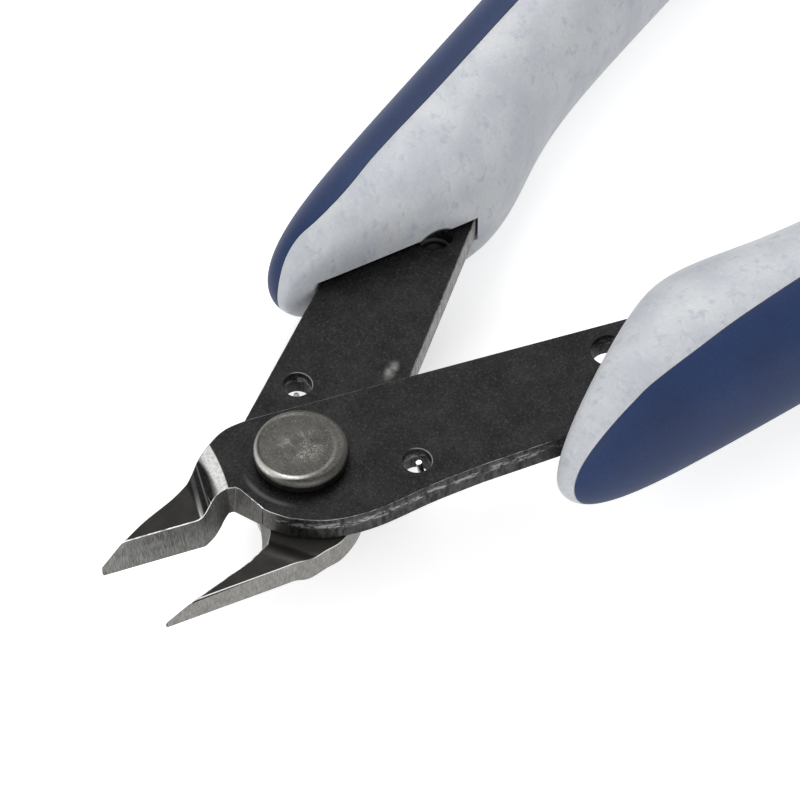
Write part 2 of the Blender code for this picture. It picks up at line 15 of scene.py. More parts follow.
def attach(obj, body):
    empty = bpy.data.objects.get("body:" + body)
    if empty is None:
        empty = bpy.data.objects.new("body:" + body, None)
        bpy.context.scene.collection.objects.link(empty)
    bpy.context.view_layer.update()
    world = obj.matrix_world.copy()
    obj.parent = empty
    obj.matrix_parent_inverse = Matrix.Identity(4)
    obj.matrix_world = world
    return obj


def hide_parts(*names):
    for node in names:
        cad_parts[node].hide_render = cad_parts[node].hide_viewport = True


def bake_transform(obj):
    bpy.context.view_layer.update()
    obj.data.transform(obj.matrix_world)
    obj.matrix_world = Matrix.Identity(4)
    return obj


MM = 0.001

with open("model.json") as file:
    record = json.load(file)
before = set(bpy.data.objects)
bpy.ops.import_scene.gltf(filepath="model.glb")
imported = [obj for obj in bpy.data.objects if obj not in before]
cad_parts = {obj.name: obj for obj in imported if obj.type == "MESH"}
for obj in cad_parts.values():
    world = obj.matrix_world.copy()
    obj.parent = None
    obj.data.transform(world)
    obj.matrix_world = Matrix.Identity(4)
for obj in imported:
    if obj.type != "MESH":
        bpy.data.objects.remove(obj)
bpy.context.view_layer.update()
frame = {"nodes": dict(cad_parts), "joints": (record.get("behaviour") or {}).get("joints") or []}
nodes = frame["nodes"]
PIVOT = Vector(frame["joints"][0]["pos_m"])

OPEN_HALF_ANGLE = math.radians(22.0)
CLOSED_HALF_ANGLE = math.radians(11.25)
HEAD_ANGLE = math.radians(14.5)

PLATE_T = 2.5 * MM
PLATE_GAP = 0.2 * MM
EDGE_ROLL = 0.14 * MM
PIVOT_BORE_R = 2.75 * MM
SPRING_HOLE_R = 1.2 * MM
SPRING_HOLE_U = 8.6 * MM
SPRING_HOLE_V = 4.15 * MM
TANG_HOLE_R = 1.6 * MM
TANG_HOLE_U = 28.0 * MM
TANG_HOLE_V = -0.2 * MM
TANG_END_U = 62.0 * MM

JOGGLE_START = 7.0 * MM
JOGGLE_RUN = 2.6 * MM
JOGGLE_STEPS = 20

CUT_OFFSET = 3.5 * MM
CUT_CLEARANCE = 0.05 * MM
CUT_ROOT = 9.6 * MM
CUT_REACH = {"front": 18.5 * MM, "rear": 17.9 * MM}
TIP_WIDTH = 0.35 * MM
BEVEL_RUN = 1.05 * MM

THROAT_CORNER = (-4.6 * MM, 4.3 * MM)
CORNER_R = 0.4 * MM
THROAT_END = (-6.75 * MM, 1.3 * MM)
THROAT_RUN = 0.75 * MM
REAR_THROAT = [
    ((-9.2, 0.64), 80, 0.96),
    ((-8.0, 0.55), 91, 0.52),
    ((-6.6, 0.75), 109, 0.0),
    ((-4.8, 1.75), 125, 0.0),
    ((-3.7, 2.9), 150, 0.0),
]
REAR_THROAT_LAND = (0.05 * MM, 0.04 * MM)

SEAT_GAP = 0.2 * MM
SHANK_R = 2.5 * MM
HEAD_R = 4.0 * MM
HEAD_H = 1.25 * MM
HEAD_ROUND = 0.6 * MM
TAIL_R = 3.4 * MM
TAIL_H = 0.8 * MM
WASHER_RIM = 1.2 * MM
WASHER_T = 0.6 * MM
WIRE_R = 0.26 * MM
COIL_R = 3.45 * MM
COIL_TURNS = 2
COIL_PITCH = 0.75 * MM
FRONT_LEG_TOP = 2.3 * MM
REAR_LEG_DEPTH = 2.1 * MM
LEG_CLIMB = 2.2 * MM
LEG_OVERSHOOT = 0.5 * MM
LEG_OUTSET = 0.35 * MM
LEG_BEND = 0.7 * MM
KNEE_DROP = 1.1 * MM

GRIP_GAP = 0.2 * MM
SEAM_GAP = 0.06 * MM
GRIP_FLAT_CUT = 0.3 * MM
GRIP_RING_POINTS = 12
GRIP_SQUARENESS = 2.35
PIN_RELIEF_H = 0.6 * MM
CUT_MARGIN = 4.0 * MM
SLOPE_MARGIN = 0.5 * MM

# Painted highlight: the colour the front's bend is painted where its slope reflects the light.
BEND_HIGHLIGHT = (0.26, 0.26, 0.255)
# Ground jaw faces, two tones for each half. Both halves share one ground finish: the rear's tones are
# painted lighter than the front's, as lit and shaded copies of it.
GROUND_LIT_AND_SHADED = {
    "front": ((0.075, 0.075, 0.072), (0.25, 0.25, 0.24)),
    "rear": ((0.135, 0.132, 0.124), (0.30, 0.292, 0.275)),
}

PLATE_BOTTOM = {"front": PLATE_GAP / 2, "rear": -PLATE_GAP / 2 - PLATE_T}
JOGGLE_STRETCH = {"front": 1.0, "rear": 0.3}
JOGGLE_RISE = {"front": -(PLATE_T + PLATE_GAP) / 2, "rear": (PLATE_T + PLATE_GAP) / 2}
SIDE = {"front": 1.0, "rear": -1.0}
GRIP_Z = {"front": (PLATE_T + PLATE_GAP) / 2, "rear": -(PLATE_T + PLATE_GAP) / 2}
CUT_TURN = {"front": CLOSED_HALF_ANGLE - HEAD_ANGLE, "rear": CLOSED_HALF_ANGLE + HEAD_ANGLE}
CUT_SHIFT = {"front": CUT_OFFSET - CUT_CLEARANCE, "rear": -CUT_OFFSET - CUT_CLEARANCE}

GRIP_SECTIONS = [
    ((19.4, 8.6), (31.0, -2.2), 3.0),
    ((18.2, 9.3), (32.8, -3.9), 5.2),
    ((19.1, 11.6), (35.2, -4.7), 6.9),
    ((24.0, 11.8), (38.8, -5.0), 7.4),
    ((32.0, 10.3), (43.5, -4.9), 7.4),
    ((43.0, 8.0), (50.5, -5.6), 7.2),
    ((58.0, 4.9), (61.0, -8.0), 7.0),
    ((78.0, 1.2), (80.0, -12.6), 6.9),
    ((96.0, -3.0), (98.0, -16.7), 6.8),
    ((106.5, -6.0), (108.0, -18.5), 6.4),
    ((111.0, -9.0), (111.5, -17.4), 4.4),
]
GRIP_SHIFT = {"front": 0.4 * MM, "rear": -1.0 * MM}
MOUTH_LEAD = {"front": 0.0, "rear": 1.6 * MM}
GRIP_TRIM = {"front": 0.0, "rear": 1.0 * MM}
CUSHION_NOSE = {
    "front": [(12.0, 14.0), (17.0, 12.0), (19.8, 11.1), (21.9, 10.4), (23.5, 9.8), (26.0, 8.8),
              (28.0, 8.0), (32.7, 6.5), (38.6, 4.6)],
    "rear": [(12.0, 9.6), (15.5, 9.7), (17.5, 9.8), (19.0, 9.7), (20.5, 9.2), (22.1, 8.2),
             (24.2, 7.3), (26.3, 6.7), (28.9, 6.2), (31.9, 5.5), (38.6, 3.9)],
}
CUSHION_LINE = [(50.0, 1.5), (70.0, -2.9), (95.0, -8.9), (108.0, -11.0), (125.0, -12.0)]


def scaled(points):
    return [(u * MM, v * MM) for u, v in points]


def spline(points, steps):
    padded = [points[0]] + list(points) + [points[-1]]
    curve = []
    for before, start, end, after in zip(padded, padded[1:], padded[2:], padded[3:]):
        for step in range(steps):
            t = step / steps
            curve.append(tuple(
                0.5 * (2 * b + (c - a) * t + (2 * a - 5 * b + 4 * c - d) * t ** 2
                       + (3 * b - a - 3 * c + d) * t ** 3)
                for a, b, c, d in zip(before, start, end, after)))
    curve.append(tuple(points[-1]))
    return curve


def rounded_corner(before, corner, after, radius, steps):
    corner = Vector(corner)
    back = (Vector(before) - corner).normalized()
    ahead = (Vector(after) - corner).normalized()
    half = back.angle(ahead) / 2
    middle = corner + (back + ahead).normalized() * radius / math.sin(half)
    first = corner + back * radius / math.tan(half) - middle
    last = corner + ahead * radius / math.tan(half) - middle
    sweep = first.angle_signed(last)
    arc = []
    for step in range(steps + 1):
        turn = -sweep * step / steps
        x = first.x * math.cos(turn) - first.y * math.sin(turn)
        y = first.x * math.sin(turn) + first.y * math.cos(turn)
        arc.append((middle.x + x, middle.y + y))
    return arc


def on_cut_line(half, reach, inset=0.0):
    turn = CUT_TURN[half]
    shift = CUT_SHIFT[half] - inset
    return (shift * math.sin(turn) - reach * math.cos(turn),
            shift * math.cos(turn) + reach * math.sin(turn))


def tang_outline():
    outer = scaled([(30.0, 4.4), (45.0, 0.6)])
    end_outer = (TANG_END_U, -3.4 * MM)
    end_inner = (TANG_END_U, -6.2 * MM)
    inner = scaled([(45.0, -3.2), (31.4, -2.7)])
    end = rounded_corner(outer[1], end_outer, end_inner, 1.2 * MM, 4)
    end += rounded_corner(end_outer, end_inner, inner[0], 1.2 * MM, 4)
    return outer + end + inner


def outer_arm_edge(half):
    if half == "front":
        edge = [THROAT_CORNER]
        swell = [(-3.4, 5.5), (-0.4, 7.0), (3.6, 7.5), (9.0, 6.95), (13.5, 6.7)]
    else:
        edge = []
        swell = [REAR_THROAT[2][0], (-5.6, 1.2), (-4.0, 2.3), (-3.0, 4.4), (-1.0, 6.1), (3.0, 6.7)]
    return edge + spline(scaled(swell), 10) + scaled([(21.5, 6.7)])


def throat(half):
    root = on_cut_line(half, CUT_ROOT)
    if half == "front":
        return [root] + rounded_corner(root, THROAT_END, THROAT_CORNER, CORNER_R, 6)
    return spline([root] + scaled([point for point, _, _ in REAR_THROAT[:3]]), 8)


def jaw_back(half):
    if half == "front":
        shoulder = spline(scaled([(-2.5, -5.3), (-4.8, -5.1), (-6.7, -4.1), (-8.8, -2.45)]), 8)
        back = spline(scaled([(-8.8, -2.45), (-11.0, -1.15), (-14.1, 0.15), (-16.5, 1.45)]), 6)
        return shoulder + back[1:]
    return spline(scaled([(7.0, -4.7), (1.5, -5.6), (-2.2, -6.15), (-4.8, -5.8), (-6.3, -4.95),
                          (-7.5, -4.35), (-8.8, -3.9), (-10.4, -2.55)]), 8)


def plate_outline(half):
    tip = [on_cut_line(half, CUT_REACH[half], TIP_WIDTH), on_cut_line(half, CUT_REACH[half])]
    notch = throat(half) if half == "front" else throat(half)[:-1]
    return outer_arm_edge(half) + tang_outline() + jaw_back(half) + tip + notch


def in_plan(points, half):
    return [(u, -SIDE[half] * v) for u, v in points]


def link(obj):
    bpy.context.scene.collection.objects.link(obj)
    return obj


def with_bmesh(mesh, edit):
    work = bmesh.new()
    work.from_mesh(mesh)
    edit(work)
    bmesh.ops.recalc_face_normals(work, faces=work.faces)
    work.to_mesh(mesh)
    work.free()


def weld(work):
    bmesh.ops.remove_doubles(work, verts=work.verts, dist=0.001 * MM)


def prism(name, points, low, high):
    data = bpy.data.curves.new(name, "CURVE")
    data.dimensions = "2D"
    data.fill_mode = "BOTH"
    data.extrude = (high - low) / 2
    line = data.splines.new("POLY")
    line.points.add(len(points) - 1)
    for point, (x, y) in zip(line.points, points):
        point.co = (x, y, 0.0, 1.0)
    line.use_cyclic_u = True
    outline = link(bpy.data.objects.new(name, data))
    outline.location.z = (high + low) / 2
    bpy.context.view_layer.update()
    evaluated = outline.evaluated_get(bpy.context.evaluated_depsgraph_get())
    mesh = bpy.data.meshes.new_from_object(evaluated)
    mesh.transform(outline.matrix_world)
    bpy.data.objects.remove(outline, do_unlink=True)
    made = link(bpy.data.objects.new(name, mesh))
    with_bmesh(mesh, weld)
    return made


def cut(obj, cutter, operation="DIFFERENCE"):
    """Applies a boolean to the object and removes the cutter."""
    made = obj.modifiers.new("cut", "BOOLEAN")
    made.operation = operation
    made.solver = "EXACT"
    made.object = cutter
    apply_modifiers(obj)
    bpy.data.objects.remove(cutter, do_unlink=True)


def apply_modifiers(obj):
    bpy.context.view_layer.update()
    evaluated = obj.evaluated_get(bpy.context.evaluated_depsgraph_get())
    mesh = bpy.data.meshes.new_from_object(evaluated)
    obj.modifiers.clear()
    obj.data = mesh


def cylinder(x, y, radius, low, high, steps=64):
    bpy.ops.mesh.primitive_cylinder_add(vertices=steps, radius=radius, depth=high - low,
                                        location=(x, y, (low + high) / 2))
    return bpy.context.object


def roll_edges(work):
    inside = [edge for edge in work.edges if all(abs(face.normal.z) > 0.9 for face in edge.link_faces)]
    bmesh.ops.dissolve_edges(work, edges=inside)
    edges = [edge for edge in work.edges if len(edge.link_faces) == 2
             and abs(edge.link_faces[0].normal.z) + abs(edge.link_faces[1].normal.z) < 1.2
             and max(abs(face.normal.z) for face in edge.link_faces) > 0.9]
    bmesh.ops.bevel(work, geom=edges, offset=EDGE_ROLL, segments=3, profile=0.5, affect="EDGES")


def joggle(work, half):
    for step in range(JOGGLE_STEPS + 1):
        station = -JOGGLE_START - JOGGLE_RUN * step / JOGGLE_STEPS
        geometry = list(work.verts) + list(work.edges) + list(work.faces)
        bmesh.ops.bisect_plane(work, geom=geometry, plane_co=(station, 0, 0), plane_no=(1, 0, 0),
                               dist=0.001 * MM)
    middle = PLATE_BOTTOM[half] + PLATE_T / 2
    for vert in work.verts:
        along = min(max((-vert.co.x - JOGGLE_START) / JOGGLE_RUN, 0.0), 1.0)
        slope = math.pi * JOGGLE_RISE[half] / (2 * JOGGLE_RUN) * math.sin(math.pi * along)
        rise = JOGGLE_RISE[half] * (1 - math.cos(math.pi * along)) / 2
        stretch = 1.0 + JOGGLE_STRETCH[half] * (math.hypot(1.0, slope) - 1.0)
        vert.co.z = middle + rise + (vert.co.z - middle) * stretch


def slope_cutter(half, stations):
    over = SLOPE_MARGIN
    work = bmesh.new()
    rings = []
    for point, outward, run, low in stations:
        slope = run / PLATE_T
        far = slope * over + over
        rows = [(-slope * (PLATE_T + over), low + PLATE_T + over), (slope * over, low - over),
                (far, low - over), (far, low + PLATE_T + over)]
        ring = []
        for out, z in rows:
            place = Vector(point) + Vector(outward) * out
            ring.append(work.verts.new((place.x, -SIDE[half] * place.y, z)))
        rings.append(ring)
    work.faces.new(rings[0])
    work.faces.new(rings[-1])
    for this, following in zip(rings, rings[1:]):
        for here, there in zip(range(4), (1, 2, 3, 0)):
            work.faces.new((this[here], this[there], following[there], following[here]))
    bmesh.ops.recalc_face_normals(work, faces=work.faces)
    mesh = bpy.data.meshes.new("slope")
    work.to_mesh(mesh)
    work.free()
    return link(bpy.data.objects.new("slope", mesh))


def towards(degrees):
    return (math.cos(math.radians(degrees)), math.sin(math.radians(degrees)))


def bevel_stations(half):
    outward = (math.sin(CUT_TURN[half]), math.cos(CUT_TURN[half]))
    stations = [(on_cut_line(half, reach), outward, BEVEL_RUN, -PLATE_T / 2)
                for reach in (CUT_REACH[half] + CUT_MARGIN, CUT_ROOT)]
    if half == "front":
        root = Vector(stations[1][0])
        end = Vector(THROAT_END)
        corner = Vector(THROAT_CORNER)
        low = PLATE_BOTTOM[half]
        stations[1] = (root, towards(79), BEVEL_RUN, -PLATE_T / 2)
        stations += [(end.lerp(root, 0.08), towards(92), THROAT_RUN, low),
                     (end.lerp(corner, 0.07), towards(119), THROAT_RUN, low),
                     (end.lerp(corner, 0.8), towards(144), THROAT_RUN * 0.06, low)]
    else:
        low = PLATE_BOTTOM[half]
        for point, bearing, climbed in REAR_THROAT:
            outward = towards(bearing)
            foot = Vector(point) * MM + Vector(REAR_THROAT_LAND)
            run = BEVEL_RUN if climbed else THROAT_RUN
            stations.append((foot, outward, run, low + climbed * JOGGLE_RISE[half]))
    return stations


def half_matrix(half):
    turn = math.pi / 2 - SIDE[half] * OPEN_HALF_ANGLE
    return Matrix.Translation(PIVOT) @ Matrix.Rotation(turn, 4, "Z")


def finish_piece(obj, matrix, finish, node, body, angle=35):
    """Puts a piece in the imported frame, in place of its CAD node."""
    obj.data.transform(matrix)
    obj.data.shade_smooth()
    obj.data.set_sharp_from_angle(angle=math.radians(angle))
    even = obj.modifiers.new("even", "WEIGHTED_NORMAL")
    even.keep_sharp = True
    apply_modifiers(obj)
    if finish:
        obj.data.materials.clear()
        obj.data.materials.append(finish)
    obj.name = node + "_fine"
    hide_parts(node)
    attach(obj, body)
    return obj


def blade(half, finish, edge_finish):
    low = PLATE_BOTTOM[half]
    made = prism(half + "_blade_fine", in_plan(plate_outline(half), half), low, low + PLATE_T)
    with_bmesh(made.data, roll_edges)
    with_bmesh(made.data, lambda work: joggle(work, half))
    cut(made, slope_cutter(half, bevel_stations(half)))
    for u, v, radius in ((0.0, 0.0, PIVOT_BORE_R), (SPRING_HOLE_U, SPRING_HOLE_V, SPRING_HOLE_R),
                         (TANG_HOLE_U, TANG_HOLE_V, TANG_HOLE_R)):
        cut(made, cylinder(u, -SIDE[half] * v, radius, low - CUT_MARGIN,
                           low + PLATE_T + CUT_MARGIN))
    made.data.materials.clear()
    made.data.materials.append(finish)
    made.data.materials.append(edge_finish)
    soft = made.modifiers.new("soften", "BEVEL")
    soft.width = 0.065 * MM
    soft.segments = 2
    soft.limit_method = "ANGLE"
    soft.angle_limit = math.radians(40)
    soft.use_clamp_overlap = False
    soft.material = 1
    apply_modifiers(made)
    return finish_piece(made, half_matrix(half), None, half + "_blade", half + "_half")


def turned(name, profile, steps):
    mesh = bpy.data.meshes.new(name)
    edges = [(index, index + 1) for index in range(len(profile) - 1)]
    mesh.from_pydata([(radius, 0.0, z) for radius, z in profile], edges, [])
    made = link(bpy.data.objects.new(name, mesh))
    screw = made.modifiers.new("turn", "SCREW")
    screw.steps = steps
    screw.render_steps = steps
    screw.use_merge_vertices = True
    screw.merge_threshold = 0.001 * MM
    apply_modifiers(made)
    with_bmesh(made.data, weld)
    return made


def quarter(centre_r, centre_z, radius, start, end, steps):
    points = []
    for step in range(steps + 1):
        angle = math.radians(start + (end - start) * step / steps)
        points.append((centre_r + radius * math.cos(angle), centre_z + radius * math.sin(angle)))
    return points


def stack():
    head_seat = PLATE_GAP / 2 + PLATE_T + SEAT_GAP
    coil_top = -PLATE_GAP / 2 - PLATE_T - SEAT_GAP
    coil_bottom = coil_top - COIL_TURNS * COIL_PITCH - 2 * WIRE_R
    washer_top = coil_bottom - SEAT_GAP
    tail_seat = washer_top - WASHER_T - SEAT_GAP
    return head_seat, coil_top, coil_bottom, washer_top, tail_seat


def rivet(finish):
    head_seat, _, _, _, tail_seat = stack()
    head_top = head_seat + HEAD_H
    profile = [(0.0, head_top - 0.06 * MM), (2.2 * MM, head_top - 0.04 * MM),
               (3.2 * MM, head_top - 0.005 * MM)]
    profile += quarter(HEAD_R - HEAD_ROUND, head_top - HEAD_ROUND, HEAD_ROUND, 90, 0, 10)
    profile += [(HEAD_R - 0.1 * MM, head_seat), (SHANK_R, head_seat), (SHANK_R, tail_seat)]
    profile += [(TAIL_R, tail_seat)]
    profile += quarter(TAIL_R - TAIL_H / 2, tail_seat - TAIL_H / 2, TAIL_H / 2, 0, -90, 8)
    profile += [(0.0, tail_seat - TAIL_H)]
    made = turned("pivot_rivet_fine", profile, 96)
    return finish_piece(made, Matrix.Translation(PIVOT), finish, "pivot_rivet", "front_half")


def washer(finish):
    _, _, _, top, _ = stack()
    inner = SHANK_R + SEAT_GAP
    outer = inner + WASHER_RIM
    chamfer = 0.1 * MM
    low = top - WASHER_T
    profile = [(inner, top), (outer - chamfer, top), (outer, top - chamfer),
               (outer, low + chamfer), (outer - chamfer, low), (inner, low), (inner, top)]
    made = turned("rivet_washer_fine", profile, 80)
    return finish_piece(made, Matrix.Translation(PIVOT), finish, "rivet_washer", "front_half")


def polar(radius, angle, z):
    return Vector((radius * math.cos(angle), radius * math.sin(angle), z))


def bent_path(points, trim):
    path = [points[0]]
    for before, corner, after in zip(points, points[1:], points[2:]):
        first = corner + (before - corner).normalized() * trim
        last = corner + (after - corner).normalized() * trim
        for step in range(9):
            share = step / 8
            path.append(first.lerp(corner, share).lerp(corner.lerp(last, share), share))
    return path + [points[-1]]


def leg(start, hole, tip_z):
    along = Vector((hole.x - start.x, hole.y - start.y, 0.0)).normalized()
    knee_z = hole.z - PLATE_T / 2 - KNEE_DROP
    foot = Vector((hole.x, hole.y, start.z)) - along * LEG_CLIMB
    knee = Vector((hole.x, hole.y, knee_z)) + along * LEG_OVERSHOOT
    tip = knee.lerp(hole, (tip_z - knee_z) / (hole.z - knee_z))
    return bent_path([start, foot, knee, tip], LEG_BEND)[1:]


def spring(finish):
    _, coil_top, coil_bottom, _, _ = stack()
    reach = math.hypot(SPRING_HOLE_U, SPRING_HOLE_V)
    spread = OPEN_HALF_ANGLE + math.atan2(SPRING_HOLE_V, SPRING_HOLE_U)
    front_hole = math.pi / 2 - spread
    rear_hole = math.pi / 2 + spread
    lean = math.acos(COIL_R / reach)
    top = coil_top - WIRE_R
    bottom = coil_bottom + WIRE_R
    first = front_hole + lean
    last = rear_hole - lean + 2 * math.pi * (COIL_TURNS - 1)
    if last < first:
        last += 2 * math.pi
    turns = max(8, round((last - first) / (2 * math.pi) * 64))
    coil = []
    for step in range(turns + 1):
        share = step / turns
        coil.append(polar(COIL_R, first + (last - first) * share, top + (bottom - top) * share))
    middle = (PLATE_GAP + PLATE_T) / 2
    out = reach + LEG_OUTSET
    front = leg(coil[0], polar(out, front_hole, middle), FRONT_LEG_TOP)
    rear = leg(coil[-1], polar(out, rear_hole, -middle), -PLATE_GAP / 2 - REAR_LEG_DEPTH)
    points = list(reversed(front)) + coil + rear
    data = bpy.data.curves.new("return_spring_fine", "CURVE")
    data.dimensions = "3D"
    data.bevel_depth = WIRE_R
    data.bevel_resolution = 5
    data.use_fill_caps = True
    line = data.splines.new("POLY")
    line.points.add(len(points) - 1)
    for point, place in zip(line.points, points):
        point.co = (*place, 1.0)
    wire = link(bpy.data.objects.new("wire", data))
    bpy.context.view_layer.update()
    evaluated = wire.evaluated_get(bpy.context.evaluated_depsgraph_get())
    mesh = bpy.data.meshes.new_from_object(evaluated)
    bpy.data.objects.remove(wire, do_unlink=True)
    made = link(bpy.data.objects.new("return_spring_fine", mesh))
    made.data.transform(Matrix.Translation(PIVOT))
    made.data.materials.clear()
    made.data.materials.append(finish)
    made.data.shade_smooth()
    made.data.set_sharp_from_angle(angle=math.radians(50))
    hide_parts("return_spring")
    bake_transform(made)
    return made


def grip_ring(work, outer, inner, half_height, half):
    middle = (outer + inner) / 2
    across = (outer - inner) / 2
    swell = 6 / (4 + 2 * math.cos(2 * math.pi / GRIP_RING_POINTS))
    power = 2 / GRIP_SQUARENESS
    ring = []
    for step in range(GRIP_RING_POINTS):
        angle = 2 * math.pi * step / GRIP_RING_POINTS
        side = math.copysign(abs(math.cos(angle)) ** power, math.cos(angle)) * swell
        rise = math.copysign(abs(math.sin(angle)) ** power, math.sin(angle)) * swell
        place = middle + across * side
        ring.append(work.verts.new((place.x, -SIDE[half] * place.y,
                                    GRIP_Z[half] + half_height * rise)))
    return ring


def grip_shell(half):
    work = bmesh.new()
    rings = []
    for index, (outer, inner, half_height) in enumerate(GRIP_SECTIONS):
        shift = Vector((GRIP_SHIFT[half], 0.0))
        outer, inner = [Vector(point) + shift for point in scaled([outer, inner])]
        inner.y += GRIP_TRIM[half] * min(index / 5, 1.0)
        if index == 0:
            outer.x -= MOUTH_LEAD[half]
        rings.append(grip_ring(work, outer, inner, half_height * MM, half))
    for here, there in zip(rings, rings[1:]):
        for index in range(GRIP_RING_POINTS):
            after = (index + 1) % GRIP_RING_POINTS
            work.faces.new((here[index], here[after], there[after], there[index]))
    for ring in (rings[0], rings[-1]):
        centre = sum((vert.co for vert in ring), Vector()) / len(ring)
        middle = work.verts.new(centre)
        for index in range(GRIP_RING_POINTS):
            work.faces.new((ring[index], ring[(index + 1) % GRIP_RING_POINTS], middle))
    bmesh.ops.recalc_face_normals(work, faces=work.faces)
    mesh = bpy.data.meshes.new(half + "_grip")
    work.to_mesh(mesh)
    work.free()
    made = link(bpy.data.objects.new(half + "_grip", mesh))
    smooth = made.modifiers.new("smooth", "SUBSURF")
    smooth.levels = 4
    smooth.render_levels = 4
    apply_modifiers(made)
    return made


def offset_line(points, distance):
    moved = []
    for index, (u, v) in enumerate(points):
        before = Vector(points[max(index - 1, 0)])
        after = Vector(points[min(index + 1, len(points) - 1)])
        along = (after - before).normalized()
        moved.append((u + along.y * distance, v - along.x * distance))
    return moved


def cushion_side(half, distance):
    line = spline(offset_line(scaled(CUSHION_NOSE[half] + CUSHION_LINE), distance), 8)
    far = 40.0 * MM
    points = line + [(line[-1][0], far), (line[0][0], far)]
    high = 12.0 * MM
    return prism("cushion_side", in_plan(points, half), -high, high)


def pocket_outline():
    mouth = scaled([(31.4, -2.7), (12.0, -4.2), (12.0, 6.7), (21.5, 6.7)])
    return mouth + tang_outline()[:-1]


def offset_outline(points, distance):
    area = sum(a[0] * b[1] - b[0] * a[1] for a, b in zip(points, points[1:] + points[:1]))
    sign = 1.0 if area > 0 else -1.0
    grown = []
    for index, point in enumerate(points):
        before = (Vector(point) - Vector(points[index - 1])).normalized()
        after = (Vector(points[(index + 1) % len(points)]) - Vector(point)).normalized()
        normal_a = Vector((before.y, -before.x)) * sign
        normal_b = Vector((after.y, -after.x)) * sign
        bisector = (normal_a + normal_b).normalized()
        grow = distance / max(bisector.dot(normal_a), 0.5)
        grown.append((point[0] + bisector.x * grow, point[1] + bisector.y * grow))
    return grown


def pocket(half):
    tang = offset_outline(pocket_outline(), GRIP_GAP)
    low = PLATE_BOTTOM[half] - GRIP_GAP
    return prism("pocket", in_plan(tang, half), low, low + PLATE_T + 2 * GRIP_GAP)


def pin_relief(half):
    place = (TANG_HOLE_U, -SIDE[half] * TANG_HOLE_V, GRIP_Z[half])
    bpy.ops.mesh.primitive_uv_sphere_add(segments=48, ring_count=24, location=place,
                                         radius=PLATE_T / 2 + PIN_RELIEF_H)
    return bpy.context.object


def floor_block(half):
    lowest = max(section[2] for section in GRIP_SECTIONS) * MM
    top = GRIP_Z[half] - lowest + GRIP_FLAT_CUT
    points = scaled([(0.0, -40.0), (130.0, -40.0), (130.0, 40.0), (0.0, 40.0)])
    return prism("floor_block", points, top - CUT_MARGIN, top)


def soften(obj, width):
    soft = obj.modifiers.new("soften", "BEVEL")
    soft.width = width
    soft.segments = 3
    soft.limit_method = "ANGLE"
    soft.angle_limit = math.radians(50)
    apply_modifiers(obj)


def grip(half, core_finish, cushion_finish):
    core = grip_shell(half)
    cushion = link(bpy.data.objects.new("cushion", core.data.copy()))
    cut(core, cushion_side(half, SEAM_GAP / 2))
    cut(core, pocket(half))
    cut(core, pin_relief(half))
    cut(core, floor_block(half))
    soften(core, 0.1 * MM)
    cut(cushion, cushion_side(half, -SEAM_GAP / 2), "INTERSECT")
    cut(cushion, floor_block(half))
    soften(cushion, 0.1 * MM)
    finish_piece(core, half_matrix(half), core_finish, half + "_grip_core", half + "_half", 50)
    finish_piece(cushion, half_matrix(half), cushion_finish, half + "_grip_cushion",
                 half + "_half", 50)


